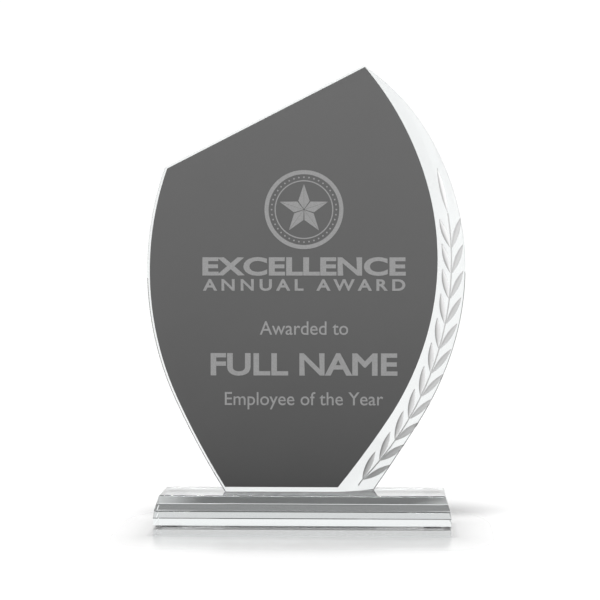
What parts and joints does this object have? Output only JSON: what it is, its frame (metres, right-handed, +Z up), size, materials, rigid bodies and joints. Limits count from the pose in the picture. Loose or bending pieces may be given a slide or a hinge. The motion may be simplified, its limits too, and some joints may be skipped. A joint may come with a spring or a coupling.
{
  "type": "crystal award",
  "caption": "Upright sail-shaped clear plaque with a smoke-grey printed face and a laurel-engraved crescent bevel, bonded to a faceted clear base.",
  "frame": {"origin": "centre of the bounding box at its bottom, on the plane that the bumper feet stand on", "axes": "+Z up, -Y towards the printed front face, +X to the right seen from the front"},
  "size_m": [0.157, 0.047, 0.225],
  "materials": {
    "plaque_crystal": "polished optical crystal",
    "base_crystal": "polished optical crystal",
    "smoke_grey_face": "smooth satin smoke-grey coating",
    "frosted_print": "matt pale grey print",
    "engraved_frost": "matt frosted engraving",
    "clear_adhesive": "clear cured adhesive",
    "clear_bumper": "clear soft polymer"
  },
  "bodies": {
    "root": {"crystal_plaque": "plaque_crystal", "crystal_base": "base_crystal", "smoke_face": "smoke_grey_face", "emblem_print": "frosted_print", "heading_print": "frosted_print", "subheading_print": "frosted_print", "dedication_print": "frosted_print", "name_print": "frosted_print", "title_print": "frosted_print", "laurel_leaves": "engraved_frost", "laurel_stem": "engraved_frost", "laurel_crown_leaf": "engraved_frost", "plaque_bond": "clear_adhesive", "bumper_foot_front_left": "clear_bumper", "bumper_foot_front_right": "clear_bumper", "bumper_foot_rear_left": "clear_bumper", "bumper_foot_rear_right": "clear_bumper"}
  },
  "joints": []
}
